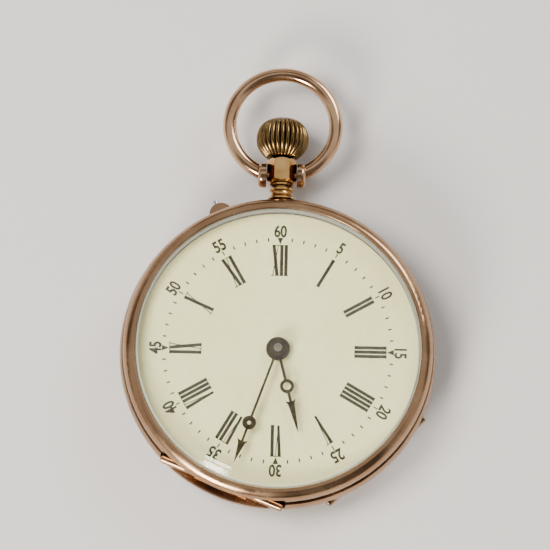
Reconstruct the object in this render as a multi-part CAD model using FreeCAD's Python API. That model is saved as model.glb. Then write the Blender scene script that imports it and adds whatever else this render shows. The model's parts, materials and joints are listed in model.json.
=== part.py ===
import FreeCAD, Part
import math
import os
from FreeCAD import Vector

# An open-face fob watch lying on its back, in millimetres.  The origin is the middle of the flat on
# the back cover, +Z is the dial's normal, +Y points to 12 o'clock and +X to 3 o'clock.

# Case, outside in
CASE_RADIUS = 17.25
COVER_RADIUS = 17.0
BEZEL_RADIUS = 16.75
BAND_BOTTOM = 3.2
BAND_TOP = 5.2
BAND_BORE = 15.4
LEDGE_RADIUS = 14.7
LEDGE_TOP = 4.2
BEZEL_TOP = 7.45
BEZEL_OPENING = 15.55
SEAM = 0.05
BACK_FLAT_RADIUS = 11.0
BACK_WALL = 0.45
CUVETTE_RADIUS = 16.1
CUVETTE_WALL = 0.25
CRYSTAL_RADIUS = 15.8
CRYSTAL_TOP = 9.25

# Cover hinges: the clock angle of the middle of each, and its distance from the case's centre
BEZEL_HINGE_CLOCK = 201.4
BACK_HINGE_CLOCK = 136.5
HINGE_REACH = 15.8
HINGE_HALF_LENGTH = 7.1
KNUCKLE_RADIUS = 0.42
KNUCKLE_GAP = 0.1
HINGE_SLOT = 0.6
HINGE_RELIEF = 1.45
PIN_RADIUS = 0.2
RUNNING_FIT = 0.02

# Pendant, bow and crown, along the stem
STEM_HEIGHT = 4.1
STEM_RADIUS = 0.45
PENDANT_BORE = 0.6
PENDANT_TUBE = 0.85
HEAD_START = 19.2
HEAD_END = 22.0
HEAD_CORNER = 1.64
BOW_PIVOT = 20.1
BOW_RADIUS = 5.88
BOW_WIRE = 0.75
BOW_MIDDLE = 25.85
EYE_RADIUS = 1.35
EYE_INNER = 1.7
EYE_OUTER = 2.62
PEG_RADIUS = 0.4
PEG_DEPTH = 0.65
CROWN_START = 22.1
CROWN_END = 26.7
CROWN_RADIUS = 2.9
CROWN_RIBS = 30

# Dial and hands
DIAL_RADIUS = 15.3
DIAL_BOTTOM = 5.35
DIAL_TOP = 5.8
DIAL_HOLE = 1.0
HAND_THICKNESS = 0.14
HOUR_HAND_BOTTOM = 6.45
MINUTE_HAND_BOTTOM = 6.95
HOUR_CLOCK = 165.5
MINUTE_CLOCK = 199.3

# Movement levels, from the back to the dial
COCK_BOTTOM = 1.75
BRIDGE_BOTTOM = 1.95
BRIDGE_TOP = 2.7
ESCAPE_COCK_TOP = 3.1
PLATE_BOTTOM = 4.2
PLATE_TOP = 5.3
RECESS_FLOOR = 4.55
MOVEMENT_RADIUS = 13.3
FOOT_INNER = 11.5

# Setting pin and its olivette
SETTING_CLOCK = 337.0
SETTING_HEIGHT = 3.9
SETTING_RADIUS = 0.25

AXIS_Z = Vector(0, 0, 1)
ORIGIN = Vector(0, 0, 0)


def polar(start, distance, degrees):
    """The place a distance from start, in the direction counted from +X towards +Y."""
    angle = math.radians(degrees)
    return start + Vector(distance * math.cos(angle), distance * math.sin(angle), 0)


def apex(first, first_reach, second, second_reach):
    """The place at given distances from two others, on the right of the way from first to second."""
    way = second - first
    span = way.Length
    along = (first_reach ** 2 - second_reach ** 2 + span ** 2) / (2 * span)
    aside = math.sqrt(first_reach ** 2 - along ** 2)
    way.normalize()
    return first + way * along + Vector(-way.y, way.x, 0) * aside


# Gear train: teeth and modules, and the arbors' places that follow from them
BARREL_TEETH = 80
BARREL_MODULE = 0.13
TRAIN_PINION_TEETH = 10
CENTRE_TEETH = 80
CENTRE_MODULE = 0.1
THIRD_TEETH = 75
THIRD_MODULE = 0.09
FOURTH_TEETH = 80
FOURTH_MODULE = 0.075
ESCAPE_PINION_TEETH = 8
ESCAPE_TEETH = 15
ESCAPE_RADIUS = 1.9
RATCHET_TEETH = 34
CROWN_WHEEL_TEETH = 26
KEYLESS_MODULE = 0.2
CANNON_TEETH = 10
MINUTE_WHEEL_TEETH = 30
MINUTE_PINION_TEETH = 8
HOUR_WHEEL_TEETH = 32
MOTION_MODULE = 0.16
BALANCE_RADIUS = 3.8
STAFF_RADIUS = 0.3
ESCAPE_GAP = 0.15


def mesh_distance(module, wheel_teeth, pinion_teeth):
    return module * (wheel_teeth + pinion_teeth) / 2


BARREL_WAY = 60
THIRD_WAY = -65
FOURTH_WAY = 215.5
MINUTE_WHEEL_WAY = 75
CENTRE_AT = ORIGIN
BARREL_AT = polar(CENTRE_AT, mesh_distance(BARREL_MODULE, BARREL_TEETH, TRAIN_PINION_TEETH), BARREL_WAY)
THIRD_AT = polar(CENTRE_AT, mesh_distance(CENTRE_MODULE, CENTRE_TEETH, TRAIN_PINION_TEETH), THIRD_WAY)
FOURTH_AT = polar(THIRD_AT, mesh_distance(THIRD_MODULE, THIRD_TEETH, TRAIN_PINION_TEETH), FOURTH_WAY)
BALANCE_AT = Vector(-6.0, -4.6, 0)
ESCAPE_AT = apex(FOURTH_AT, mesh_distance(FOURTH_MODULE, FOURTH_TEETH, ESCAPE_PINION_TEETH),
                 BALANCE_AT, ESCAPE_RADIUS + STAFF_RADIUS + ESCAPE_GAP)
MINUTE_WHEEL_AT = polar(CENTRE_AT, mesh_distance(MOTION_MODULE, MINUTE_WHEEL_TEETH, CANNON_TEETH),
                        MINUTE_WHEEL_WAY)
KEYLESS_REACH = mesh_distance(KEYLESS_MODULE, RATCHET_TEETH, CROWN_WHEEL_TEETH)
CROWN_WHEEL_AT = Vector(0, BARREL_AT.y + math.sqrt(KEYLESS_REACH ** 2 - BARREL_AT.x ** 2), 0)
BALANCE_FOOT = Vector(-10.9, -5.3, 0)
ESCAPE_FOOT = Vector(-5.6, -10.6, 0)


# Basic shapes

def rod(radius, bottom, top, place=ORIGIN):
    return Part.makeCylinder(radius, top - bottom, Vector(place.x, place.y, bottom))


def tube(outer, inner, bottom, top, place=ORIGIN):
    return rod(outer, bottom, top, place).cut(rod(inner, bottom, top, place))


def block(x_low, x_high, y_low, y_high, bottom, top):
    return Part.makeBox(x_high - x_low, y_high - y_low, top - bottom, Vector(x_low, y_low, bottom))


def turned(start, *steps):
    """A solid turned about Z from a closed outline of (radius, height) points.

    A step is the next point, or a pair of points (middle, end) for an arc."""
    def spot(point):
        return Vector(point[0], 0, point[1])

    edges = []
    here = start
    for step in steps + (start,):
        if isinstance(step[0], tuple):
            middle, end = step
            edges.append(Part.Arc(spot(here), spot(middle), spot(end)).toShape())
        else:
            end = step
            edges.append(Part.LineSegment(spot(here), spot(end)).toShape())
        here = end
    return Part.Face(Part.Wire(edges)).revolve(ORIGIN, AXIS_Z, 360)


def dome_middle(flat_radius, flat_height, rim_radius, rim_height):
    """The middle of an arc that leaves a flat level and meets a rim."""
    run = rim_radius - flat_radius
    rise = rim_height - flat_height
    radius = (run ** 2 + rise ** 2) / (2 * abs(rise))
    half_run = run * 0.55
    height = radius - math.sqrt(radius ** 2 - half_run ** 2)
    return (flat_radius + half_run, flat_height + math.copysign(height, rise))


def along_stem(shape):
    """Lay a shape made about Z along the stem, so that its height becomes its distance along Y."""
    return shape.rotated(ORIGIN, Vector(1, 0, 0), -90).translated(Vector(0, 0, STEM_HEIGHT))


def to_clock(shape, clock):
    """Turn a shape made along +Y to a clock angle, counted clockwise from 12."""
    return shape.rotated(ORIGIN, AXIS_Z, -clock)


def plate_shape(points, bottom, top):
    """A flat plate from a closed outline of (x, y) points."""
    corners = [Vector(x, y, bottom) for x, y in points]
    return Part.Face(Part.makePolygon(corners + corners[:1])).extrude(Vector(0, 0, top - bottom))


def bar(first, second, width, bottom, top):
    """A flat arm with round ends from one place to another."""
    way = second - first
    arm = block(0, way.Length, -width / 2, width / 2, bottom, top)
    arm = arm.rotated(ORIGIN, AXIS_Z, math.degrees(math.atan2(way.y, way.x))).translated(first)
    ends = [rod(width / 2, bottom, top, place) for place in (first, second)]
    return arm.multiFuse(ends).removeSplitter()


def sector(outer, inner, start, end, bottom, top):
    """Part of a ring, from one direction to another in degrees from +X."""
    height = Vector(0, 0, bottom)
    whole = Part.makeCylinder(outer, top - bottom, height, AXIS_Z, end - start)
    return whole.cut(rod(inner, bottom, top)).rotated(ORIGIN, AXIS_Z, start)


def joined(*shapes):
    return shapes[0].multiFuse(list(shapes[1:])).removeSplitter()


def drilled(shape, holes):
    """Cut every hole of a list from a shape."""
    return shape.cut(Part.makeCompound(holes))


# Toothed wheels

def toothed(teeth, root, tip, bottom, top, bore, phase=0.0, lean=0.0):
    """A toothed disc about Z.  Its first tooth points along phase, in radians, and lean slants it."""
    pitch = 2 * math.pi / teeth
    corners = ((root, -0.25), (tip, lean - 0.1), (tip, lean + 0.1), (root, 0.25))
    points = []
    for index in range(teeth):
        for radius, offset in corners:
            angle = phase + (index + offset) * pitch
            points.append((radius * math.cos(angle), radius * math.sin(angle)))
    return plate_shape(points, bottom, top).cut(rod(bore, bottom, top))


def gear(teeth, module, bottom, top, bore, phase=0.0):
    pitch_radius = teeth * module / 2
    return toothed(teeth, pitch_radius - 1.2 * module, pitch_radius + 0.8 * module, bottom, top, bore, phase)


def crossed_out(wheel_ring, rim_bore, hub, bore, arms, bottom, top):
    """Fill a toothed rim with a hub and straight arms."""
    parts = [tube(hub, bore, bottom, top)]
    width = 0.12 * rim_bore
    for index in range(arms):
        arm = block((hub + bore) / 2, rim_bore + 0.05, -width / 2, width / 2, bottom, top)
        parts.append(arm.rotated(ORIGIN, AXIS_Z, 360 / arms * index))
    return joined(wheel_ring, *parts)


def meshing_phase(driver_at, driver_teeth, driver_phase, driven_at, driven_teeth):
    """The phase that puts a gap of the driven gear where a tooth of the driver is."""
    way = driven_at - driver_at
    facing = math.atan2(way.y, way.x)
    driver_pitch = 2 * math.pi / driver_teeth
    past = ((facing - driver_phase) % driver_pitch) / driver_pitch
    return facing + math.pi + (past - 0.5) * 2 * math.pi / driven_teeth


def arbor(radius, bottom, top, pivot=0.12, pivot_length=0.3):
    """A wheel's arbor with a thinner pivot at each end."""
    ends = [rod(pivot, bottom - pivot_length, bottom), rod(pivot, top, top + pivot_length)]
    return joined(rod(radius, bottom, top), *ends)


def wheel_and_pinion(wheel_teeth, wheel_module, wheel_levels, pinion_teeth, pinion_module,
                     pinion_levels, ends, wheel_phase, pinion_phase):
    """A train wheel: crossed-out wheel, pinion and arbor in one piece."""
    rim_bore = wheel_teeth * wheel_module / 2 * 0.84
    core = 0.18
    ring = gear(wheel_teeth, wheel_module, *wheel_levels, rim_bore, wheel_phase)
    wheel = crossed_out(ring, rim_bore, 0.5, core / 2, 5, *wheel_levels)
    pinion = gear(pinion_teeth, pinion_module, *pinion_levels, core / 2, pinion_phase)
    return joined(wheel, pinion, arbor(core, *ends))


def spiral_band(inner_radius, pitch, half_turns, thickness, bottom, top):
    """A flat spiral spring whose half-turns are arcs about two centres in turn."""
    def side(shift):
        edges = []
        for index in range(half_turns):
            radius = inner_radius + index * pitch / 2 + shift
            centre = pitch / 2 * (index % 2)
            facing = 1 if index % 2 == 0 else -1
            places = [Vector(centre + facing * radius, 0, bottom), Vector(centre, facing * radius, bottom),
                      Vector(centre - facing * radius, 0, bottom)]
            edges.append(Part.Arc(*places).toShape())
        return edges

    inner = side(-thickness / 2)
    outer = side(thickness / 2)
    caps = [Part.LineSegment(inner[0].firstVertex(True).Point, outer[0].firstVertex(True).Point).toShape(),
            Part.LineSegment(inner[-1].lastVertex(True).Point, outer[-1].lastVertex(True).Point).toShape()]
    wire = Part.Wire(Part.__sortEdges__(inner + outer + caps))
    return Part.Face(wire).extrude(Vector(0, 0, top - bottom))


# Cover hinges: knuckles about a pin along Y, then moved to the hinge's place

def at_hinge(shape, clock, height):
    return shape.translated(Vector(HINGE_REACH, 0, height)).rotated(ORIGIN, AXIS_Z, 90 - clock)


def along_y(radius, start, end):
    return Part.makeCylinder(radius, end - start, Vector(0, start, 0), Vector(0, 1, 0))


def knuckles(spans, web):
    """Knuckles over spans of the pin, each with a web (x_low, x_high, z_low, z_high) to its cover."""
    x_low, x_high, z_low, z_high = web
    parts = []
    for start, end in spans:
        barrel = along_y(KNUCKLE_RADIUS, start, end)
        tips = [edge for edge in barrel.Edges
                if edge.Closed and abs(edge.CenterOfMass.y) > HINGE_HALF_LENGTH - 0.01]
        parts.append(barrel.makeFillet(0.15, tips) if tips else barrel)
        web = block(x_low, x_high, start, end, z_low, z_high)
        parts.append(web.common(rod(CASE_RADIUS, -5, 5, Vector(-HINGE_REACH, 0, 0))))
    return joined(*parts).cut(along_y(PIN_RADIUS + RUNNING_FIT, -HINGE_HALF_LENGTH, HINGE_HALF_LENGTH))


def hinge_cut(low, high, reach=HINGE_SLOT):
    """The room a hinge needs, from reach inside the pin outwards."""
    return block(-reach, 4, -HINGE_HALF_LENGTH - 0.2, HINGE_HALF_LENGTH + 0.2, low, high)


def hinge_pin():
    return along_y(PIN_RADIUS, 0.1 - HINGE_HALF_LENGTH, HINGE_HALF_LENGTH - 0.1)


BEZEL_SPANS = [(-3.0, 3.0)]
BEZEL_CASE_SPANS = [(-HINGE_HALF_LENGTH, -3.0 - KNUCKLE_GAP), (3.0 + KNUCKLE_GAP, HINGE_HALF_LENGTH)]
CUVETTE_SPANS = [(-1.4, 1.4)]
BACK_SPANS = [(-4.5, -1.5), (1.5, 4.5)]
BACK_CASE_SPANS = [(-HINGE_HALF_LENGTH, -4.6), (4.6, HINGE_HALF_LENGTH)]


# Case

def make_case_middle():
    lip_radius = 15.9
    band = turned((BAND_BORE, BAND_TOP + 0.3), (BAND_BORE, LEDGE_TOP), (LEDGE_RADIUS, LEDGE_TOP),
                  (LEDGE_RADIUS, BAND_BOTTOM), (COVER_RADIUS, BAND_BOTTOM),
                  ((CASE_RADIUS, 4.2), (COVER_RADIUS, BAND_TOP)),
                  (lip_radius, BAND_TOP), (lip_radius, BAND_TOP + 0.3))
    front = at_hinge(hinge_cut(-HINGE_SLOT, 1), BEZEL_HINGE_CLOCK, BAND_TOP)
    back = at_hinge(hinge_cut(-1, HINGE_SLOT), BACK_HINGE_CLOCK, BAND_BOTTOM)
    front_knuckles = at_hinge(knuckles(BEZEL_CASE_SPANS, (-0.45, 0.42, -0.75, -0.2)),
                              BEZEL_HINGE_CLOCK, BAND_TOP)
    back_knuckles = at_hinge(knuckles(BACK_CASE_SPANS, (-0.45, 0.42, 0.2, 0.75)),
                             BACK_HINGE_CLOCK, BAND_BOTTOM)
    band = band.cut(front).cut(back)
    band = joined(band, front_knuckles, back_knuckles)
    holes = [along_stem(rod(PENDANT_TUBE + RUNNING_FIT, 14, 19)), setting_bore()]
    holes += [rod(1.15, BAND_BOTTOM - 0.1, BAND_BOTTOM + 0.35, place) for place in CASE_SCREWS]
    return drilled(band, holes)


CASE_SCREWS = [Vector(14.2, 0, 0), Vector(-14.2, 0, 0)]


def setting_bore():
    bore = Part.makeCylinder(SETTING_RADIUS + RUNNING_FIT, 5, Vector(0, 14, SETTING_HEIGHT), Vector(0, 1, 0))
    return to_clock(bore, SETTING_CLOCK)


def make_olivette():
    """The small guard on the band that keeps the setting pin from being pushed by chance."""
    lug = Part.makeCylinder(1.3, 1.3, Vector(0, 16.8, SETTING_HEIGHT - 0.65))
    lug = lug.common(block(-1.3, 1.3, 17.2, 18.1, 3, 5))
    lug = to_clock(lug, SETTING_CLOCK)
    return drilled(lug, [rod(CASE_RADIUS + SEAM, 3, 5), setting_bore()])


def make_setting_pin():
    pin = Part.makeCylinder(SETTING_RADIUS, 4.1, Vector(0, 14.5, SETTING_HEIGHT), Vector(0, 1, 0))
    return to_clock(pin, SETTING_CLOCK)


def make_bezel():
    ring = turned((16.0, BAND_TOP + SEAM), (BEZEL_RADIUS, BAND_TOP + SEAM), (BEZEL_RADIUS + 0.05, 5.9),
                  ((16.62, 6.95), (15.95, BEZEL_TOP)), (BEZEL_OPENING + 0.1, BEZEL_TOP),
                  (BEZEL_OPENING, BEZEL_TOP - 0.1), (BEZEL_OPENING, 7.0), (CRYSTAL_RADIUS + 0.05, 6.95),
                  (CRYSTAL_RADIUS + 0.05, 6.55), (BEZEL_OPENING - 0.1, 6.5), (BEZEL_OPENING - 0.1, 6.1),
                  (16.0, 5.95))
    ring = ring.cut(at_hinge(hinge_cut(-1, HINGE_RELIEF), BEZEL_HINGE_CLOCK, BAND_TOP))
    own = at_hinge(knuckles(BEZEL_SPANS, (0.15, 0.42, 0.2, HINGE_RELIEF + 0.1)), BEZEL_HINGE_CLOCK, BAND_TOP)
    return joined(ring, own)


def make_crystal():
    outer_rim = (14.75, 7.85)
    inner_rim = (14.1, 7.25)
    inner_top = CRYSTAL_TOP - 0.75
    return turned((0, CRYSTAL_TOP), (dome_middle(0, CRYSTAL_TOP, *outer_rim), outer_rim), (15.3, 7.4),
                  (15.45, 6.92), (CRYSTAL_RADIUS, 6.9), (CRYSTAL_RADIUS, 6.6), (14.9, 6.6), inner_rim,
                  (dome_middle(0, inner_top, *inner_rim), (0, inner_top)))


def make_back_cover():
    top = BAND_BOTTOM - SEAM
    flat = BACK_FLAT_RADIUS
    outer_rim = (COVER_RADIUS, 2.5)
    inner_rim = (COVER_RADIUS - 0.55, 2.6)
    shell = turned((0, 0), (flat, 0), (dome_middle(flat, 0, *outer_rim), outer_rim),
                   (COVER_RADIUS, top), (inner_rim[0], top), inner_rim,
                   (dome_middle(flat, BACK_WALL, *inner_rim), (flat, BACK_WALL)), (0, BACK_WALL))
    shell = shell.cut(at_hinge(hinge_cut(-HINGE_RELIEF, 1), BACK_HINGE_CLOCK, BAND_BOTTOM))
    own = at_hinge(knuckles(BACK_SPANS, (-0.85, 0.35, -1.55, -0.3)), BACK_HINGE_CLOCK, BAND_BOTTOM)
    return joined(shell, own)


def make_cuvette():
    floor = 1.15
    flange = 2.8
    wall = CUVETTE_WALL
    dish = turned((0, floor), (13.6, floor), (14.6, flange), (CUVETTE_RADIUS, flange),
                  (CUVETTE_RADIUS, flange + wall), (14.35, flange + wall), (13.4, floor + wall),
                  (0, floor + wall))
    dish = dish.cut(at_hinge(hinge_cut(-1.3, 1, 0.95), BACK_HINGE_CLOCK, BAND_BOTTOM))
    own = at_hinge(knuckles(CUVETTE_SPANS, (-1.15, 0, -0.4, -0.15)), BACK_HINGE_CLOCK, BAND_BOTTOM)
    return joined(dish, own)


# Pendant, bow and crown

def make_pendant():
    neck = turned((PENDANT_BORE, 15.5), (PENDANT_TUBE, 15.5), (PENDANT_TUBE, 17.3), (1.5, 17.32),
                  (1.5, 17.45), ((1.2, 17.75), (1.05, 18.2)), (1.3, 18.3), (1.3, 18.5), (1.0, 18.6),
                  (1.0, 18.75), (1.3, 18.85), (1.3, 19.05), (1.1, HEAD_START), (1.1, HEAD_END),
                  (PENDANT_BORE, HEAD_END))
    corners = [polar(ORIGIN, HEAD_CORNER, 60 * index) for index in range(6)]
    head = plate_shape([(corner.x, corner.y) for corner in corners], HEAD_START, HEAD_END)
    chamfers = turned((0, HEAD_START), (1.25, HEAD_START), (HEAD_CORNER + 0.05, HEAD_START + 0.35),
                      (HEAD_CORNER + 0.05, HEAD_END - 0.35), (1.25, HEAD_END), (0, HEAD_END))
    head = head.common(chamfers).cut(rod(PENDANT_BORE, HEAD_START, HEAD_END))
    peg_holes = [Part.makeCylinder(PEG_RADIUS + RUNNING_FIT, PEG_DEPTH + 0.3,
                                   Vector(side * (EYE_INNER - PEG_DEPTH - 0.03), 0, BOW_PIVOT),
                                   Vector(side, 0, 0)) for side in (-1, 1)]
    return along_stem(drilled(joined(neck, head), peg_holes))


def make_pendant_sleeve():
    return along_stem(tube(PENDANT_BORE - 0.01, STEM_RADIUS + 0.03, 19.4, 21.9))


def make_bow():
    """A round wire ring, open at the pendant, with an eye and a peg at each end."""
    drop = BOW_MIDDLE - BOW_PIVOT
    opening = math.degrees(math.acos(drop / BOW_RADIUS))
    section = Part.Face(Part.Wire(Part.makeCircle(BOW_WIRE, Vector(BOW_RADIUS, 0, 0), Vector(0, 1, 0))))
    ring = section.revolve(ORIGIN, AXIS_Z, 360 - 2 * opening)
    ring = ring.rotated(ORIGIN, AXIS_Z, opening - 90).translated(Vector(0, BOW_MIDDLE, STEM_HEIGHT))
    slot = block(-EYE_INNER, EYE_INNER, BOW_PIVOT - 2, BOW_PIVOT + 2, 0, 8)
    parts = [ring.cut(slot)]
    for side in (-1, 1):
        facing = Vector(side, 0, 0)
        eye = Part.makeCylinder(EYE_RADIUS, EYE_OUTER - EYE_INNER,
                                Vector(side * EYE_INNER, BOW_PIVOT, STEM_HEIGHT), facing)
        rim = [edge for edge in eye.Edges if abs(edge.CenterOfMass.x) > EYE_OUTER - 0.01]
        parts.append(eye.makeFillet(0.45, rim))
        parts.append(Part.makeCylinder(PEG_RADIUS, PEG_DEPTH + 0.2,
                                       Vector(side * (EYE_INNER - PEG_DEPTH), BOW_PIVOT, STEM_HEIGHT), facing))
    return joined(*parts)


def make_crown():
    onion = turned((0, CROWN_START), (1.5, CROWN_START), ((2.6, 22.9), (CROWN_RADIUS, 24.1)),
                   ((2.35, 25.7), (0.9, 26.5)), ((0.5, 26.63), (0, CROWN_END)))
    ribs = toothed(CROWN_RIBS, CROWN_RADIUS - 0.25, CROWN_RADIUS + 0.1, CROWN_START, CROWN_END, 0.3)
    bore = rod(STEM_RADIUS + RUNNING_FIT, CROWN_START, 24.5)
    core = rod(CROWN_RADIUS - 0.4, CROWN_START, CROWN_END)
    return along_stem(onion.common(ribs.fuse(core)).cut(bore))


def make_stem():
    square = block(-0.3, 0.3, -0.3, 0.3, 11.4, 13.2)
    pilot = rod(0.25, 10.7, 11.4)
    return along_stem(joined(pilot, square, rod(STEM_RADIUS, 13.2, 24.4)))


def keyless_pinion(start, end, tip):
    hole = block(-0.32, 0.32, -0.32, 0.32, start, end)
    return along_stem(toothed(12, tip - 0.25, tip, start, end, 0.2).cut(hole))


# Dial side

DIAL_FEET = [polar(ORIGIN, 13.0, degrees) for degrees in (35, 155, 275)]


def make_dial():
    feet = [rod(0.3, 4.4, DIAL_BOTTOM, place) for place in DIAL_FEET]
    disc = tube(DIAL_RADIUS, DIAL_HOLE, DIAL_BOTTOM, DIAL_TOP)
    return joined(disc, *feet)


def hand(bottom, hub, bore, ring_at, ring, ring_bore, barb_at, barb, tip_at, stem):
    """A hand along +Y: hub, stem, open ring, then an arrow head with barbs."""
    top = bottom + HAND_THICKNESS
    ring_place = Vector(0, ring_at, 0)
    shaft = block(-stem / 2, stem / 2, bore + 0.1, barb_at, bottom, top)
    head = plate_shape([(-stem / 2, barb_at), (-barb, barb_at - 0.15), (-barb * 0.6, barb_at + 0.3),
                        (-0.1, tip_at - 0.7), (0, tip_at), (0.1, tip_at - 0.7),
                        (barb * 0.6, barb_at + 0.3), (barb, barb_at - 0.15), (stem / 2, barb_at)],
                       bottom, top)
    whole = joined(rod(hub, bottom, top), shaft, rod(ring, bottom, top, ring_place), head)
    return drilled(whole, [rod(bore, bottom, top), rod(ring_bore, bottom, top, ring_place)])


def make_hour_hand():
    flat = hand(HOUR_HAND_BOTTOM, 1.3, 0.76, 4.27, 0.77, 0.43, 6.03, 0.58, 9.65, 0.32)
    return to_clock(flat, HOUR_CLOCK)


def make_minute_hand():
    flat = hand(MINUTE_HAND_BOTTOM, 0.93, 0.46, 8.85, 0.75, 0.22, 11.0, 0.6, 13.6, 0.26)
    return to_clock(flat, MINUTE_CLOCK)


def make_cannon_pinion():
    top = MINUTE_HAND_BOTTOM + HAND_THICKNESS + 0.12
    pinion = gear(CANNON_TEETH, MOTION_MODULE, 4.65, 4.82, 0.3, 0)
    return joined(pinion, tube(0.45, 0.27, 4.65, top))


def make_minute_wheel():
    wheel_phase = meshing_phase(CENTRE_AT, CANNON_TEETH, 0, MINUTE_WHEEL_AT, MINUTE_WHEEL_TEETH)
    wheel = gear(MINUTE_WHEEL_TEETH, MOTION_MODULE, 4.65, 4.8, 0.22, wheel_phase)
    pinion = gear(MINUTE_PINION_TEETH, MOTION_MODULE, 4.8, 5.2, 0.22, 0)
    return joined(wheel, pinion).translated(MINUTE_WHEEL_AT)


def make_hour_wheel():
    phase = meshing_phase(MINUTE_WHEEL_AT, MINUTE_PINION_TEETH, 0, CENTRE_AT, HOUR_WHEEL_TEETH)
    wheel = gear(HOUR_WHEEL_TEETH, MOTION_MODULE, 4.92, 5.1, 0.5, phase)
    return joined(wheel, tube(0.74, 0.5, 4.92, HOUR_HAND_BOTTOM + HAND_THICKNESS + 0.06))


# Movement frame

BARREL_BRIDGE_SCREWS = [polar(ORIGIN, 12.4, degrees) for degrees in (30, 62, 128)]
TRAIN_BRIDGE_SCREWS = [polar(ORIGIN, 12.4, degrees) for degrees in (-85, -20)]
SCREW_PLACES = [(place, BRIDGE_BOTTOM) for place in BARREL_BRIDGE_SCREWS + TRAIN_BRIDGE_SCREWS]
SCREW_PLACES += [(BALANCE_FOOT, COCK_BOTTOM), (ESCAPE_FOOT, BRIDGE_TOP + SEAM)]
SCREW_END = 4.9
PIVOTS = [(BARREL_AT, 0.5), (CENTRE_AT, 0.25), (THIRD_AT, 0.12), (FOURTH_AT, 0.12), (ESCAPE_AT, 0.12),
          (BALANCE_AT, 0.12)]


def screw_holes():
    return [rod(0.25 + RUNNING_FIT, 0, SCREW_END, place) for place, _ in SCREW_PLACES]


def screw(head_radius, head_height, shank_radius, bottom, end):
    """A cheese-head screw with its head's slot to the back, about Z."""
    head = rod(head_radius, bottom - head_height, bottom)
    slot = block(-head_radius, head_radius, -0.08, 0.08, bottom - head_height, bottom - head_height / 2)
    return joined(head.cut(slot), rod(shank_radius, bottom, end))


def make_bridge_screws():
    return Part.makeCompound([screw(0.5, 0.2, 0.25, bottom, SCREW_END - 0.05).translated(place)
                              for place, bottom in SCREW_PLACES])


def make_case_screws():
    bottom = BAND_BOTTOM + 0.35
    return Part.makeCompound([screw(1.05, 0.3, 0.35, bottom, 4.9).translated(place)
                              for place in CASE_SCREWS])


def pivot_holes(below, above):
    return [rod(radius + RUNNING_FIT, below, above, place) for place, radius in PIVOTS]


def make_main_plate():
    disc = rod(DIAL_RADIUS, PLATE_BOTTOM, PLATE_TOP)
    recess = [rod(3.0, RECESS_FLOOR, PLATE_TOP), rod(2.75, RECESS_FLOOR, PLATE_TOP, MINUTE_WHEEL_AT)]
    keyless = [block(-1.35, 1.35, 10.6, 13.45, PLATE_BOTTOM, PLATE_TOP),
               along_stem(rod(STEM_RADIUS + RUNNING_FIT, 13, 16))]
    feet = [rod(0.3 + RUNNING_FIT, 4.3, PLATE_TOP, place) for place in DIAL_FEET]
    screws = [rod(0.37, PLATE_BOTTOM, 4.95, place) for place in CASE_SCREWS]
    pendant = [along_stem(rod(PENDANT_TUBE + 0.05, 15, 16))]
    holes = recess + keyless + feet + screws + pendant + screw_holes() + pivot_holes(4, PLATE_TOP)
    post = rod(0.2, RECESS_FLOOR, 5.25, MINUTE_WHEEL_AT)
    return joined(drilled(disc, holes), post)


def make_barrel_bridge():
    slab = rod(MOVEMENT_RADIUS, BRIDGE_BOTTOM, BRIDGE_TOP)
    slab = slab.common(block(-9.5, 14, 1.1, 14, BRIDGE_BOTTOM, BRIDGE_TOP))
    feet = [sector(MOVEMENT_RADIUS, FOOT_INNER, start, end, BRIDGE_TOP, PLATE_BOTTOM)
            for start, end in ((14, 78), (104, 132))]
    keyless = [rod(2.45, BRIDGE_BOTTOM, BRIDGE_TOP, CROWN_WHEEL_AT),
               rod(0.27, BRIDGE_BOTTOM, 2.45, CLICK_AT)]
    return drilled(joined(slab, *feet), keyless + screw_holes() + pivot_holes(1, PLATE_BOTTOM))


def make_train_bridge():
    slab = rod(MOVEMENT_RADIUS, BRIDGE_BOTTOM, BRIDGE_TOP)
    slab = slab.common(block(-3.4, 14, -14, 1.0, BRIDGE_BOTTOM, BRIDGE_TOP))
    foot = sector(MOVEMENT_RADIUS, FOOT_INNER, -92, -7, BRIDGE_TOP, PLATE_BOTTOM)
    room = [rod(BALANCE_RADIUS + 0.35, BRIDGE_BOTTOM, BRIDGE_TOP, BALANCE_AT)]
    return drilled(joined(slab, foot), room + screw_holes() + pivot_holes(1, PLATE_BOTTOM))


def make_escape_cock():
    arm = bar(ESCAPE_AT, ESCAPE_FOOT, 1.4, BRIDGE_TOP + SEAM, ESCAPE_COCK_TOP)
    foot = rod(0.85, BRIDGE_TOP + SEAM, PLATE_BOTTOM, ESCAPE_FOOT)
    staff_room = [rod(STAFF_RADIUS + 0.15, 0, 5, BALANCE_AT)]
    return drilled(joined(arm, foot), staff_room + screw_holes() + pivot_holes(1, PLATE_BOTTOM))


def make_balance_cock():
    arm = bar(BALANCE_AT, BALANCE_FOOT, 1.7, COCK_BOTTOM, 2.05)
    foot = rod(0.85, COCK_BOTTOM, PLATE_BOTTOM, BALANCE_FOOT)
    return drilled(joined(arm, foot), screw_holes() + pivot_holes(1, 2.05))


# Power and train

def make_barrel():
    drum_radius = 4.85
    ring = gear(BARREL_TEETH, BARREL_MODULE, 2.85, 3.1, 0.55, BARREL_PHASE)
    wall = tube(drum_radius, drum_radius - 0.25, 3.1, 3.6)
    return joined(ring, wall).translated(BARREL_AT)


def make_barrel_cover():
    return tube(4.85, 0.55, 3.6, 3.75, BARREL_AT)


def make_mainspring():
    return spiral_band(1.1, 0.6, 10, 0.12, 3.15, 3.55).translated(BARREL_AT)


def make_barrel_arbor():
    core = joined(rod(0.5, 1.7, 4.5), rod(0.9, 3.12, 3.58)).cut(rod(0.22, 1.7, 2.6))
    return core.translated(BARREL_AT)


def make_ratchet_wheel():
    return toothed(RATCHET_TEETH, 3.16, 3.56, 1.68, 1.92, 0.52, RATCHET_PHASE).translated(BARREL_AT)


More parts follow.
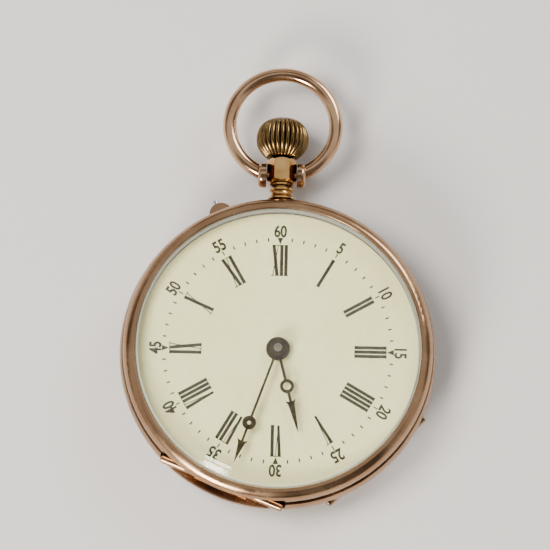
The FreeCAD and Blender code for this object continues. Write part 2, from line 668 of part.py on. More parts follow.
def make_ratchet_screw():
    return screw(0.8, 0.16, 0.2, 1.66, 2.5).translated(BARREL_AT)


def make_crown_wheel():
    """A flat wheel that drives the ratchet, with face teeth below it for the winding pinion."""
    flat = toothed(CROWN_WHEEL_TEETH, 2.36, 2.76, 1.68, 1.92, 0.7, CROWN_WHEEL_PHASE)
    face_teeth = toothed(CROWN_WHEEL_TEETH, 2.1, 2.35, 1.92, 2.75, 1.6)
    return joined(flat, face_teeth).translated(CROWN_WHEEL_AT)


def make_crown_wheel_core():
    """The fixed core the crown wheel turns on, screwed to the bridge."""
    return joined(rod(0.65, 1.68, 2.65), rod(0.95, 1.5, 1.64), rod(0.4, 1.6, 1.7)).translated(CROWN_WHEEL_AT)


CLICK_AT = Vector(8.3, 3.4, 0)
CLICK_TIP = Vector(6.62, 4.15, 0)


def make_click():
    arm = bar(CLICK_AT, CLICK_TIP, 0.4, 1.7, 1.9)
    return joined(arm, rod(0.6, 1.7, 1.9, CLICK_AT)).cut(rod(0.27, 1.7, 1.9, CLICK_AT))


def make_click_screw():
    return joined(rod(0.45, 1.52, 1.68), rod(0.25, 1.68, 2.4)).translated(CLICK_AT)


def make_click_spring():
    return bar(Vector(9.6, 6.6, 0), Vector(8.6, 4.3, 0), 0.18, 1.72, 1.9)


# Driver phases run down the train, so that each gap meets a tooth
BARREL_PHASE = 0.0
CENTRE_PINION_PHASE = meshing_phase(BARREL_AT, BARREL_TEETH, BARREL_PHASE, CENTRE_AT, TRAIN_PINION_TEETH)
THIRD_PINION_PHASE = meshing_phase(CENTRE_AT, CENTRE_TEETH, 0, THIRD_AT, TRAIN_PINION_TEETH)
FOURTH_PINION_PHASE = meshing_phase(THIRD_AT, THIRD_TEETH, 0, FOURTH_AT, TRAIN_PINION_TEETH)
ESCAPE_PINION_PHASE = meshing_phase(FOURTH_AT, FOURTH_TEETH, 0, ESCAPE_AT, ESCAPE_PINION_TEETH)
RATCHET_PHASE = 0.0
CROWN_WHEEL_PHASE = meshing_phase(BARREL_AT, RATCHET_TEETH, RATCHET_PHASE, CROWN_WHEEL_AT, CROWN_WHEEL_TEETH)


def make_centre_wheel():
    ring = gear(CENTRE_TEETH, CENTRE_MODULE, 3.85, 4.05, 3.4, 0)
    wheel = crossed_out(ring, 3.4, 0.7, 0.2, 5, 3.85, 4.05)
    pinion = gear(TRAIN_PINION_TEETH, BARREL_MODULE, 2.82, 3.7, 0.2, CENTRE_PINION_PHASE)
    core = joined(rod(0.4, 2.75, 4.12), rod(0.25, 2.2, 7.1))
    return joined(wheel, pinion, core)


def make_third_wheel():
    return wheel_and_pinion(THIRD_TEETH, THIRD_MODULE, (2.9, 3.05), TRAIN_PINION_TEETH, CENTRE_MODULE,
                            (3.78, 4.1), (2.78, 4.12), 0, THIRD_PINION_PHASE).translated(THIRD_AT)


def make_fourth_wheel():
    return wheel_and_pinion(FOURTH_TEETH, FOURTH_MODULE, (3.4, 3.55), TRAIN_PINION_TEETH, THIRD_MODULE,
                            (2.85, 3.2), (2.78, 4.12), 0, FOURTH_PINION_PHASE).translated(FOURTH_AT)


def make_escape_wheel():
    ring = toothed(ESCAPE_TEETH, ESCAPE_RADIUS - 0.4, ESCAPE_RADIUS, 3.75, 3.9, 1.2, 0, 0.25)
    wheel = crossed_out(ring, 1.2, 0.4, 0.09, 3, 3.75, 3.9)
    pinion = gear(ESCAPE_PINION_TEETH, FOURTH_MODULE, 3.3, 3.65, 0.09, ESCAPE_PINION_PHASE)
    return joined(wheel, pinion, arbor(0.18, 3.15, 4.12)).translated(ESCAPE_AT)


def make_balance_wheel():
    rim = tube(BALANCE_RADIUS, BALANCE_RADIUS - 0.45, 2.36, 2.6)
    arms = [block(-BALANCE_RADIUS + 0.2, -0.3, -0.2, 0.2, 2.4, 2.55).rotated(ORIGIN, AXIS_Z, turn)
            for turn in (0, 120, 240)]
    hub = tube(0.7, STAFF_RADIUS + 0.01, 2.4, 2.55)
    wheel = joined(rim, hub, *arms).cut(rod(STAFF_RADIUS + 0.01, 2.3, 2.7))
    return wheel.translated(BALANCE_AT)


def make_balance_staff():
    """The balance staff, whose lower part is the hollow cylinder that the escape wheel acts on."""
    return arbor(STAFF_RADIUS, 2.08, 4.12, 0.1, 0.25).translated(BALANCE_AT)


def make_hairspring():
    return spiral_band(0.5, 0.32, 12, 0.04, 2.12, 2.28).translated(BALANCE_AT)


def make_regulator():
    bottom = COCK_BOTTOM - 0.2
    arm = bar(BALANCE_AT, BALANCE_AT + Vector(2.0, 2.2, 0), 0.35, bottom, bottom + 0.15)
    return joined(arm, rod(0.7, bottom, bottom + 0.15, BALANCE_AT))


def make_jewels():
    places = [(THIRD_AT, BRIDGE_BOTTOM), (FOURTH_AT, BRIDGE_BOTTOM)]
    return Part.makeCompound([tube(0.45, 0.13, bottom - 0.1, bottom - 0.01, place)
                              for place, bottom in places])


PARTS = {
    "case_middle": make_case_middle, "olivette": make_olivette, "setting_pin": make_setting_pin,
    "pendant": make_pendant, "pendant_sleeve": make_pendant_sleeve, "case_screws": make_case_screws,
    "bezel": make_bezel, "crystal": make_crystal, "back_cover": make_back_cover, "cuvette": make_cuvette,
    "bezel_hinge_pin": lambda: at_hinge(hinge_pin(), BEZEL_HINGE_CLOCK, BAND_TOP),
    "back_hinge_pin": lambda: at_hinge(hinge_pin(), BACK_HINGE_CLOCK, BAND_BOTTOM),
    "bow": make_bow, "crown": make_crown, "stem": make_stem,
    "winding_pinion": lambda: keyless_pinion(12.1, 13.1, 1.2),
    "sliding_pinion": lambda: keyless_pinion(11.5, 12.0, 1.0),
    "dial": make_dial, "hour_hand": make_hour_hand, "minute_hand": make_minute_hand,
    "cannon_pinion": make_cannon_pinion, "minute_wheel": make_minute_wheel, "hour_wheel": make_hour_wheel,
    "main_plate": make_main_plate, "barrel_bridge": make_barrel_bridge, "train_bridge": make_train_bridge,
    "escape_cock": make_escape_cock, "balance_cock": make_balance_cock,
    "bridge_screws": make_bridge_screws, "jewels": make_jewels,
    "barrel": make_barrel, "barrel_cover": make_barrel_cover, "mainspring": make_mainspring,
    "barrel_arbor": make_barrel_arbor, "ratchet_wheel": make_ratchet_wheel,
    "ratchet_screw": make_ratchet_screw,
    "crown_wheel": make_crown_wheel, "crown_wheel_core": make_crown_wheel_core,
    "click": make_click, "click_screw": make_click_screw, "click_spring": make_click_spring,
    "centre_wheel": make_centre_wheel, "third_wheel": make_third_wheel, "fourth_wheel": make_fourth_wheel,
    "escape_wheel": make_escape_wheel, "balance_wheel": make_balance_wheel,
    "balance_staff": make_balance_staff, "hairspring": make_hairspring, "regulator": make_regulator,
}


def main():
    os.makedirs("parts", exist_ok=True)
    for name, make in PARTS.items():
        make().exportStep("parts/" + name + ".step")


main()
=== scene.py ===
import bpy
import json
import math
from mathutils import Matrix, Vector


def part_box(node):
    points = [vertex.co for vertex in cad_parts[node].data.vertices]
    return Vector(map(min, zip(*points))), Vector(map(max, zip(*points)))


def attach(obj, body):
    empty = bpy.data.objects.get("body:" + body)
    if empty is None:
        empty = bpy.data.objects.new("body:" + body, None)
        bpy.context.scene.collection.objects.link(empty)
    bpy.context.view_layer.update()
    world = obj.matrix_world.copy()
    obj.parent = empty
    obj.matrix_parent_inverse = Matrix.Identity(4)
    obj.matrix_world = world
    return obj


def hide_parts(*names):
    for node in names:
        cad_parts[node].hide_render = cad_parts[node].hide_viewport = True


# Looks of the fob watch, in metres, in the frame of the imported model.

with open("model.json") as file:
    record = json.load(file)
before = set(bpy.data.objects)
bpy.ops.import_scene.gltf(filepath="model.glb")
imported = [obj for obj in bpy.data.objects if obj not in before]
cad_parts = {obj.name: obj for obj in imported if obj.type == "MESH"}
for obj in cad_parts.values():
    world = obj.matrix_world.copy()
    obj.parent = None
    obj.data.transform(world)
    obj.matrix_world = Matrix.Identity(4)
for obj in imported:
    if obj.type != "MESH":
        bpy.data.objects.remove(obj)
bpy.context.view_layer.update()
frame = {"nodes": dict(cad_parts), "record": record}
nodes = frame["nodes"]

MM = 0.001
SHARP_ANGLE = 32
DIAL_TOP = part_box("dial")[1][2]
INK_HEIGHT = 0.012 * MM
INK_GAP = 0.002 * MM
HOURS = ("XII", "I", "II", "III", "IIII", "V", "VI", "VII", "VIII", "IX", "X", "XI")
NUMERAL_INNER = 8.35 * MM
NUMERAL_OUTER = 11.75 * MM
TICK_INNER = 12.2 * MM
TICK_OUTER = 12.6 * MM
TICK_WIDTH = 0.15 * MM
HOUR_TICK_INNER = 12.1 * MM
HOUR_TICK_WIDTH = 0.13 * MM
ARROW_INNER = 11.85 * MM
ARROW_WIDTH = 0.62 * MM
ARROW_TIP = 0.02 * MM
MINUTE_FIGURE_RADIUS = 13.25 * MM

# The crystal's painted glare, a pale band near its edge, between these distances from its middle
GLARE_BAND_INNER = 15.1 * MM
GLARE_BAND_OUTER = 15.35 * MM
GLARE_BAND_STRENGTH = 0.5


# Materials

# How far ambient occlusion looks for the painted shade in the metals' hollows
HOLLOW_SHADE_REACH = 0.35 * MM
SCRATCH_DEPTH = 0.01 * MM
ENAMEL_RIPPLE = 0.01 * MM


class Nodes:
    """A material's node tree, with short calls to add and link nodes."""

    def __init__(self, name):
        self.material = bpy.data.materials.new(name)
        self.material.use_nodes = True
        self.tree = self.material.node_tree
        self.shader = self.tree.nodes["Principled BSDF"]
        coordinates = self.tree.nodes.new("ShaderNodeTexCoord")
        self.place = coordinates.outputs["Object"]

    def add(self, kind, **inputs):
        node = self.tree.nodes.new(kind)
        for key, value in inputs.items():
            self.feed(node, key.replace("_", " "), value)
        return node

    def feed(self, node, key, value):
        socket = node.inputs[key]
        if isinstance(value, bpy.types.NodeSocket):
            self.tree.links.new(value, socket)
        else:
            socket.default_value = value

    def set(self, **inputs):
        for key, value in inputs.items():
            self.feed(self.shader, key.replace("_", " "), value)

    def noise(self, scale, detail=4.0, stretch=(1, 1, 1)):
        mapping = self.add("ShaderNodeMapping", Vector=self.place)
        mapping.inputs["Scale"].default_value = stretch
        return self.add("ShaderNodeTexNoise", Vector=mapping.outputs["Vector"], Scale=scale,
                        Detail=detail).outputs["Fac"]

    def ramp(self, value, *stops):
        """A colour ramp from (position, colour) stops; a plain number stands for a grey."""
        node = self.add("ShaderNodeValToRGB", Fac=value)
        elements = node.color_ramp.elements
        while len(elements) < len(stops):
            elements.new(0.5)
        for element, (position, colour) in zip(elements, stops):
            element.position = position
            if not isinstance(colour, tuple):
                colour = (colour, colour, colour)
            element.color = (*colour, 1.0)
        return node.outputs["Color"]

    def bump(self, height, strength, distance):
        node = self.add("ShaderNodeBump", Height=height, Strength=strength, Distance=distance)
        self.set(Normal=node.outputs["Normal"])


def metal(name, dark, light, rough, grain=400.0, patches=260.0, scratch=0.25, hollow_shade=None):
    """Worn metal: patchy colour, dulled patches, fine scratches and painted shade that darkens the hollows.
    """
    made = Nodes(name)
    worn = made.noise(patches, 6.0)
    scratches = made.noise(grain, 3.0, (9.0, 0.8, 2.0))
    crossing = made.noise(grain * 1.4, 3.0, (0.8, 9.0, 2.0))
    lines = made.add("ShaderNodeMath")
    lines.operation = "MAXIMUM"
    made.feed(lines, 0, scratches)
    made.feed(lines, 1, crossing)
    colour = made.ramp(worn, (0.32, dark), (0.66, light))
    # Painted shade: the colour darkens towards a shade colour wherever ambient occlusion finds hollows and
    # seams
    if hollow_shade:
        occlusion = made.add("ShaderNodeAmbientOcclusion", Distance=HOLLOW_SHADE_REACH)
        occlusion.samples = 8
        shade_mask = made.ramp(occlusion.outputs["AO"], (0.35, 0.0), (0.8, 1.0))
        mix = made.add("ShaderNodeMixRGB", Fac=shade_mask)
        mix.inputs["Color1"].default_value = (*hollow_shade, 1.0)
        made.feed(mix, "Color2", colour)
        colour = mix.outputs["Color"]
    made.set(Base_Color=colour, Metallic=1.0)
    made.set(Roughness=made.ramp(worn, (0.3, rough - 0.07), (0.7, rough + 0.1)))
    made.bump(lines.outputs["Value"], scratch, SCRATCH_DEPTH)
    return made.material


def enamel_material():
    made = Nodes("enamel")
    cloud = made.noise(120.0, 5.0)
    made.set(Base_Color=made.ramp(cloud, (0.3, (0.84, 0.78, 0.40)), (0.7, (0.89, 0.84, 0.46))))
    made.set(Roughness=made.ramp(made.noise(900.0), (0.3, 0.2), (0.7, 0.32)))
    made.set(Coat_Weight=0.4, Coat_Roughness=0.1, Subsurface_Weight=0.1, Subsurface_Scale=0.0004)
    made.bump(made.noise(500.0, 2.0), 0.05, ENAMEL_RIPPLE)
    return made.material


def ink_material():
    made = Nodes("dial_ink")
    dark, light = (0.018, 0.016, 0.008), (0.055, 0.048, 0.028)
    made.set(Base_Color=made.ramp(made.noise(1500.0), (0.3, dark), (0.75, light)))
    made.set(Roughness=made.ramp(made.noise(2500.0), (0.3, 0.35), (0.7, 0.5)))
    return made.material


# How much the glass reflects, from square on (0) to grazing (1)
GLASS_GLEAM = ((0.0, 0.035), (0.5, 0.05), (0.75, 0.13), (0.9, 0.34), (1.0, 0.8))


def glass_material():
    """Clear crystal that shows the dial, with a faint haze and scratches in its gloss, and a pale band of
    painted glare near its edge.
    """
    made = Nodes("crystal_glass")
    tree = made.tree
    clear = made.add("ShaderNodeBsdfTransparent", Color=(0.965, 0.97, 0.955, 1.0))
    haze = made.ramp(made.noise(700.0, 3.0, (6.0, 0.8, 1.0)), (0.45, 0.06), (0.75, 0.16))
    gloss = made.add("ShaderNodeBsdfGlossy", Color=(1.0, 1.0, 1.0, 1.0), Roughness=haze)
    edge = made.add("ShaderNodeLayerWeight", Blend=0.5)
    mix = made.add("ShaderNodeMixShader", Fac=made.ramp(edge.outputs["Facing"], *GLASS_GLEAM))
    tree.links.new(clear.outputs["BSDF"], mix.inputs[1])
    tree.links.new(gloss.outputs["BSDF"], mix.inputs[2])
    # Painted glare: a pale diffuse colour is mixed over the glass near its edge, standing in for the glare of
    # the crystal's edge
    flat_place = made.add("ShaderNodeVectorMath")
    flat_place.operation = "MULTIPLY"
    made.feed(flat_place, 0, made.place)
    flat_place.inputs[1].default_value = (1.0, 1.0, 0.0)
    reach = made.add("ShaderNodeVectorMath")
    reach.operation = "LENGTH"
    made.feed(reach, 0, flat_place.outputs["Vector"])
    glare_band = made.add("ShaderNodeMapRange", Value=reach.outputs["Value"])
    glare_band.inputs["From Min"].default_value = GLARE_BAND_INNER
    glare_band.inputs["From Max"].default_value = GLARE_BAND_OUTER
    glare_band.inputs["To Max"].default_value = GLARE_BAND_STRENGTH
    painted_glare = made.add("ShaderNodeBsdfDiffuse", Color=(0.62, 0.60, 0.50, 1.0))
    whole = made.add("ShaderNodeMixShader", Fac=glare_band.outputs["Result"])
    tree.links.new(mix.outputs["Shader"], whole.inputs[1])
    tree.links.new(painted_glare.outputs["BSDF"], whole.inputs[2])
    tree.links.new(whole.outputs["Shader"], tree.nodes["Material Output"].inputs["Surface"])
    tree.nodes.remove(made.shader)
    return made.material


def ruby_material():
    made = Nodes("ruby")
    made.set(Base_Color=made.ramp(made.noise(2000.0), (0.3, (0.35, 0.01, 0.06)), (0.7, (0.55, 0.03, 0.12))))
    made.set(Roughness=0.1, Coat_Weight=0.6)
    return made.material


# Colour of the painted shade in the hollows of the gold
HOLLOW_SHADE_COLOUR = (0.06, 0.03, 0.012)
MATERIALS = {
    "rolled_gold": metal("rolled_gold", (0.31, 0.175, 0.092), (0.43, 0.265, 0.15), 0.22, hollow_shade=HOLLOW_SHADE_COLOUR),
    "cover_gold": metal("cover_gold", (0.42, 0.25, 0.13), (0.62, 0.42, 0.25), 0.30, scratch=0.4,
                        hollow_shade=HOLLOW_SHADE_COLOUR),
    "polished_steel": metal("polished_steel", (0.34, 0.34, 0.34), (0.56, 0.56, 0.57), 0.22),
    "gilt_brass": metal("gilt_brass", (0.50, 0.34, 0.12), (0.68, 0.50, 0.22), 0.38, patches=500.0),
    "wheel_brass": metal("wheel_brass", (0.52, 0.37, 0.15), (0.70, 0.54, 0.26), 0.25),
    "blued_steel": metal("blued_steel", (0.02, 0.04, 0.14), (0.06, 0.10, 0.28), 0.2),
    "crystal_glass": glass_material(),
    "enamel": enamel_material(),
    "ruby": ruby_material(),
    "hand_steel": metal("hand_steel", (0.06, 0.045, 0.02), (0.17, 0.13, 0.07), 0.38, patches=900.0),
}
INK = ink_material()
PENDANT_GOLD = metal("pendant_gold", (0.50, 0.26, 0.08), (0.80, 0.50, 0.20), 0.17, patches=500.0,
                     hollow_shade=HOLLOW_SHADE_COLOUR)
BOW_GOLD = metal("bow_gold", (0.47, 0.27, 0.15), (0.70, 0.45, 0.27), 0.17, hollow_shade=HOLLOW_SHADE_COLOUR)
# The crown's painted shade in its hollows is darker still
CROWN_GOLD = metal("crown_gold", (0.17, 0.10, 0.032), (0.31, 0.205, 0.085), 0.26,
                   hollow_shade=(0.03, 0.015, 0.005))


def smooth(thing, degrees):
    """Smooth shading that keeps edges sharper than the angle."""
    for polygon in thing.data.polygons:
        polygon.use_smooth = True
    thing.data.set_sharp_from_angle(angle=math.radians(degrees))


def wear(thing, material):
    if not thing.data.materials:
        thing.data.materials.append(material)
    for slot in thing.material_slots:
        slot.material = material


for subpart in frame["record"]["subparts"]:
    wear(nodes[subpart["node"]], MATERIALS[subpart["material_slot"]])
wear(nodes["pendant"], PENDANT_GOLD)
wear(nodes["bow"], BOW_GOLD)


# Making pieces

def piece(name, vertices, faces, body, material, sharp=SHARP_ANGLE):
    mesh = bpy.data.meshes.new(name)
    mesh.from_pydata(vertices, [], faces)
    mesh.validate()
    made = bpy.data.objects.new(name, mesh)
    bpy.context.scene.collection.objects.link(made)
    wear(made, material)
    smooth(made, sharp)
    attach(made, body)
    return made


# The ribbed crown

CROWN_LOW, CROWN_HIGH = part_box("crown")
STEM_HEIGHT = (CROWN_LOW[2] + CROWN_HIGH[2]) / 2
CROWN_RADIUS = CROWN_HIGH[0]
CROWN_LENGTH = CROWN_HIGH[1] - CROWN_LOW[1]
CROWN_RIBS = 30
STEPS_PER_RIB = 12
CROWN_LEVELS = 60
RIB_DEPTH = 0.11
RIB_SHARPNESS = 0.6
CROWN_SHARP_ANGLE = 60

# As shares of the crown's radius: where the ribs start, how far they take to deepen, and the pole
RIBS_START = 0.24
RIBS_RUN = 0.25
POLE = 0.002

CROWN_OUTLINE = ((0.0, 0.17), (0.0, 0.55), (0.06, 0.70), (0.18, 0.87), (0.32, 0.975), (0.46, 1.0),
                 (0.60, 0.975), (0.74, 0.89), (0.85, 0.74), (0.92, 0.57), (0.96, 0.40), (0.975, 0.24),
                 (0.99, 0.15), (1.0, 0.0))


def outline_point(fraction):
    """A smooth (height, radius) point along the crown's outline, by Catmull-Rom between its points."""
    spans = len(CROWN_OUTLINE) - 1
    index = min(int(fraction * spans), spans - 1)
    t = fraction * spans - index
    picked = [CROWN_OUTLINE[min(max(index + shift, 0), spans)] for shift in (-1, 0, 1, 2)]
    before, first, second, after = [Vector(point) for point in picked]
    return (first * 2 + (second - before) * t + (before * 2 - first * 5 + second * 4 - after) * t ** 2
            + (first * 3 - before - second * 3 + after) * t ** 3) / 2


def crown():
    around = CROWN_RIBS * STEPS_PER_RIB
    vertices = []
    for level in range(CROWN_LEVELS + 1):
        height, radius = outline_point(level / CROWN_LEVELS)
        radius = max(radius, POLE)
        ribbed = min(max((radius - RIBS_START) / RIBS_RUN, 0.0), 1.0) * (1.0 if height > 0.001 else 0.0)
        for index in range(around):
            angle = 2 * math.pi * index / around
            ridge = abs(math.cos(angle * CROWN_RIBS / 2)) ** RIB_SHARPNESS
            reach = CROWN_RADIUS * min(radius, 1.0) * (1 - RIB_DEPTH * ribbed * (1 - ridge))
            vertices.append((reach * math.sin(angle), CROWN_LOW[1] + CROWN_LENGTH * min(max(height, 0), 1),
                             STEM_HEIGHT + reach * math.cos(angle)))
    faces = [tuple(range(around))[::-1], tuple(range(CROWN_LEVELS * around, (CROWN_LEVELS + 1) * around))]
    for level in range(CROWN_LEVELS):
        for index in range(around):
            after = (index + 1) % around
            low = level * around
            high = low + around
            faces.append((low + index, low + after, high + after, high + index))
    made = piece("ribbed_crown", vertices, faces, "crown", CROWN_GOLD, CROWN_SHARP_ANGLE)
    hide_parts("crown")


crown()


# The crystal, smooth and finely divided

CRYSTAL_LOW, CRYSTAL_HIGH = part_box("crystal")
AROUND = 256
GLASS_SHARP_ANGLE = 25
DOME_STEPS = 40
GLASS = 0.75 * MM
DOME_OUTER = (14.75 * MM, 7.85 * MM)
DOME_INNER = (14.1 * MM, 7.25 * MM)
RIM = ((15.3 * MM, 7.4 * MM), (15.45 * MM, 6.92 * MM))
FLANGE_TOP = 6.9 * MM
FLANGE_INNER = 14.9 * MM


def arc(start, end, steps):
    """Points of a (radius, height) arc that is level at its start."""
    run = end[0] - start[0]
    rise = end[1] - start[1]
    radius = (run ** 2 + rise ** 2) / (2 * abs(rise))
    points = []
    for step in range(steps + 1):
        along = run * step / steps
        drop = radius - math.sqrt(radius ** 2 - along ** 2)
        points.append((start[0] + along, start[1] + math.copysign(drop, rise)))
    return points


def revolved(name, outline, body, material, sharp):
    """A closed outline of (radius, height) points turned about Z; points on the axis become a pole."""
    vertices, rings, faces = [], [], []
    for radius, height in outline:
        count = AROUND if radius > 1e-6 else 1
        rings.append((len(vertices), count))
        for index in range(count):
            angle = 2 * math.pi * index / AROUND
            vertices.append((radius * math.cos(angle), radius * math.sin(angle), height))
    for (low, low_count), (high, high_count) in zip(rings, rings[1:] + rings[:1]):
        for index in range(AROUND):
            after = (index + 1) % AROUND
            corners = []
            for first, count, spots in ((low, low_count, (index, after)), (high, high_count, (after, index))):
                corners += [first + spot for spot in spots] if count > 1 else [first]
            if len(corners) > 2:
                faces.append(tuple(corners))
    return piece(name, vertices, faces, body, material, sharp)


def crystal():
    edge, low, high = CRYSTAL_HIGH[0], CRYSTAL_LOW[2], CRYSTAL_HIGH[2]
    outer = arc((0, high), DOME_OUTER, DOME_STEPS)
    inner = arc((0, high - GLASS), DOME_INNER, DOME_STEPS)[::-1]
    flange = [(edge, FLANGE_TOP), (edge, low), (FLANGE_INNER, low)]
    made = revolved("domed_crystal", [*outer, *RIM, *flange, *inner], "bezel",
                    MATERIALS["crystal_glass"], GLASS_SHARP_ANGLE)
    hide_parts("crystal")


crystal()


# Dial printing

class Printing:
    """Flat printed shapes, gathered into one mesh just above the dial."""

    def __init__(self):
        self.vertices = []
        self.faces = []

    def add(self, outline, clock):
        """A flat outline in a sign's own frame (x to its right, y outwards), turned to a clock angle."""
        first = len(self.vertices)
        turn = Matrix.Rotation(math.radians(-clock), 3, "Z")
        for height in (0.0, INK_HEIGHT):
            for x, y in outline:
                spot = turn @ Vector((x, y, 0))
                self.vertices.append((spot.x, spot.y, DIAL_TOP + INK_GAP + height))
        count = len(outline)
        self.faces.append(tuple(range(first, first + count))[::-1])
        self.faces.append(tuple(range(first + count, first + 2 * count)))
        for index in range(count):
            after = (index + 1) % count
            self.faces.append((first + index, first + after, first + count + after, first + count + index))

    def stroke(self, start, end, width, clock, end_width=None):
        """A straight stroke, cut square to Y, which may taper."""
        end_width = width if end_width is None else end_width
        self.add([(start[0] - width / 2, start[1]), (start[0] + width / 2, start[1]),
                  (end[0] + end_width / 2, end[1]), (end[0] - end_width / 2, end[1])], clock)


THICK = 0.36 * MM
THIN = 0.085 * MM
GAP = 0.12 * MM
SERIF = 0.09 * MM
SERIF_WIDTH = 0.42 * MM
V_TAPER = 0.7
WIDTHS = {"I": THICK, "V": 0.68 * MM, "X": 0.74 * MM}


def roman(printing, text, clock):
    """A Roman numeral with thick and thin strokes and fine serif lines, its top outwards."""
    total = sum(WIDTHS[letter] for letter in text) + GAP * (len(text) - 1)
    cursor = -total / 2
    low, high = NUMERAL_INNER, NUMERAL_OUTER
    for letter in text:
        width = WIDTHS[letter]
        left, right = cursor, cursor + width
        if letter == "I":
            printing.stroke((left + THICK / 2, low), (left + THICK / 2, high), THICK, clock)
            feet = [left + THICK / 2]
            tops = feet
        elif letter == "V":
            middle = (left + right) / 2
            printing.stroke((left + THICK / 2, high), (middle, low), THICK, clock, THICK * V_TAPER)
            printing.stroke((right - THIN, high), (middle, low), THIN, clock)
            feet, tops = [], [left + THICK / 2, right - THIN]
        else:
            printing.stroke((left + THICK / 2, high), (right - THICK / 2, low), THICK, clock)
            printing.stroke((left + THIN, low), (right - THIN, high), THIN, clock)
            feet = [left + THIN, right - THICK / 2]
            tops = [left + THICK / 2, right - THIN]
        for level, centres in ((low, feet), (high, tops)):
            for centre in centres:
                printing.stroke((centre, level - SERIF / 2), (centre, level + SERIF / 2), SERIF_WIDTH, clock)
        cursor = right + GAP


def minute_track(printing):
    for minute in range(60):
        clock = minute * 6
        if minute % 5:
            printing.stroke((0, TICK_INNER), (0, TICK_OUTER), TICK_WIDTH, clock)
        elif minute % 15:
            printing.stroke((0, HOUR_TICK_INNER), (0, TICK_OUTER), HOUR_TICK_WIDTH, clock)
        else:
            printing.stroke((0, TICK_OUTER), (0, ARROW_INNER), ARROW_WIDTH, clock, ARROW_TIP)


FIGURE_SIZE = 1.8 * MM
FIGURE_OFFSET = 0.03
FIGURE_NARROWING = 0.78


def figures():
    """The minute figures 5 to 60, from the plain built-in type, thickened a little."""
    vertices, faces = [], []
    for minute in range(5, 61, 5):
        text = bpy.data.curves.new("figure", "FONT")
        text.body = str(minute)
        text.size = 1
        text.align_x = "CENTER"
        text.align_y = "CENTER"
        text.offset = FIGURE_OFFSET
        text.extrude = INK_HEIGHT / 2 / FIGURE_SIZE
        holder = bpy.data.objects.new("figure", text)
        bpy.context.scene.collection.objects.link(holder)
        bpy.context.view_layer.update()
        drawn = bpy.data.meshes.new_from_object(holder)
        turn = Matrix.Rotation(math.radians(-minute * 6), 3, "Z")
        first = len(vertices)
        for vertex in drawn.vertices:
            spot = vertex.co * FIGURE_SIZE
            spot = turn @ Vector((spot.x * FIGURE_NARROWING, spot.y + MINUTE_FIGURE_RADIUS, spot.z))
            vertices.append((spot.x, spot.y, DIAL_TOP + INK_GAP + INK_HEIGHT / 2 + spot.z))
        for polygon in drawn.polygons:
            faces.append(tuple(first + index for index in polygon.vertices))
        bpy.data.objects.remove(holder)
        bpy.data.meshes.remove(drawn)
    piece("minute_figures", vertices, faces, "case", INK)


def print_dial():
    numerals = Printing()
    for index, text in enumerate(HOURS):
        roman(numerals, text, index * 30)
    piece("hour_numerals", numerals.vertices, numerals.faces, "case", INK)
    track = Printing()
    minute_track(track)
    piece("minute_track", track.vertices, track.faces, "case", INK)
    figures()


print_dial()
for node in nodes.values():
    if node.type == "MESH" and not node.hide_render:
        node.data.set_sharp_from_angle(angle=math.radians(SHARP_ANGLE))


# Studio: floor, soft light and camera

FLOOR_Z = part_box("back_cover")[0][2] - 0.02 * MM


def floor():
    mesh = bpy.data.meshes.new("floor")
    reach = 1.5
    mesh.from_pydata([(-reach, -reach, FLOOR_Z), (reach, -reach, FLOOR_Z), (reach, reach, FLOOR_Z),
                      (-reach, reach, FLOOR_Z)], [], [(0, 1, 2, 3)])
    made = bpy.data.objects.new("floor", mesh)
    bpy.context.scene.collection.objects.link(made)
    plain = Nodes("floor_paper")
    plain.set(Base_Color=(0.53, 0.50, 0.475, 1.0), Roughness=0.85)
    wear(made, plain.material)


def aim(thing, target):
    thing.rotation_euler = (Vector(target) - thing.location).to_track_quat("-Z", "Y").to_euler()


LAMP_TARGET = (0, 0.005, 0)


def lamp(name, place, size, power, colour, mirrored=True):
    """A round soft lamp; an unmirrored one isn't seen in the glass or the gold."""
    light = bpy.data.lights.new(name, "AREA")
    light.shape = "DISK"
    light.size = size
    light.energy = power
    light.color = colour
    made = bpy.data.objects.new(name, light)
    made.location = place
    made.visible_glossy = mirrored
    bpy.context.scene.collection.objects.link(made)
    aim(made, LAMP_TARGET)


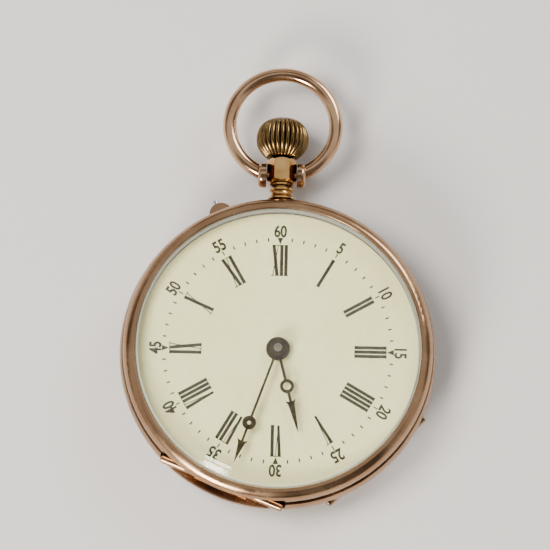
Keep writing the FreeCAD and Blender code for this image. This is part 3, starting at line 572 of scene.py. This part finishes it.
def camera():
    """A long lens at 76 degrees of elevation from the 6 o'clock side, turned a little in its own plane."""
    distance = 0.42
    elevation = math.radians(76)
    roll = math.radians(1.3)
    target = Vector((-0.0005, 0.0084, 0.0058))
    data = bpy.data.cameras.new("camera")
    data.lens = 252
    made = bpy.data.objects.new("camera", data)
    made.location = target + Vector((0, -math.cos(elevation), math.sin(elevation))) * distance
    bpy.context.scene.collection.objects.link(made)
    upright = (target - made.location).to_track_quat("-Z", "Y").to_matrix()
    made.rotation_euler = (upright @ Matrix.Rotation(roll, 3, "Z")).to_euler()
    bpy.context.scene.camera = made


def sky():
    """A bright studio with soft darker bands, which give the gold and the glass something to reflect."""
    world = bpy.data.worlds.new("studio")
    world.use_nodes = True
    background = world.node_tree.nodes["Background"]
    tree = world.node_tree
    coordinates = tree.nodes.new("ShaderNodeTexCoord")
    turned = tree.nodes.new("ShaderNodeMapping")
    turned.inputs["Rotation"].default_value = (math.radians(35), math.radians(-25), 0)
    bands = tree.nodes.new("ShaderNodeTexWave")
    bands.wave_profile = "SIN"
    bands.bands_direction = "Y"
    bands.inputs["Scale"].default_value = 0.42
    bands.inputs["Distortion"].default_value = 1.6
    bands.inputs["Detail"].default_value = 1.0
    shades = tree.nodes.new("ShaderNodeValToRGB")
    shades.color_ramp.elements[0].position = 0.25
    shades.color_ramp.elements[0].color = (0.20, 0.19, 0.18, 1.0)
    shades.color_ramp.elements[1].position = 0.8
    shades.color_ramp.elements[1].color = (1.0, 0.985, 0.965, 1.0)
    tree.links.new(coordinates.outputs["Generated"], turned.inputs["Vector"])
    tree.links.new(turned.outputs["Vector"], bands.inputs["Vector"])
    tree.links.new(bands.outputs["Fac"], shades.inputs["Fac"])
    tree.links.new(shades.outputs["Color"], background.inputs["Color"])
    background.inputs["Strength"].default_value = 0.8
    bpy.context.scene.world = world


floor()
sky()
lamp("key", (-0.28, -0.44, 0.30), 0.22, 6.5, (1.0, 0.965, 0.91))
lamp("side", (-0.34, 0.02, 0.60), 0.36, 7.5, (1.0, 0.98, 0.96), mirrored=False)
lamp("back", (0.35, 0.40, 0.40), 0.3, 2.5, (0.95, 0.97, 1.0))
camera()
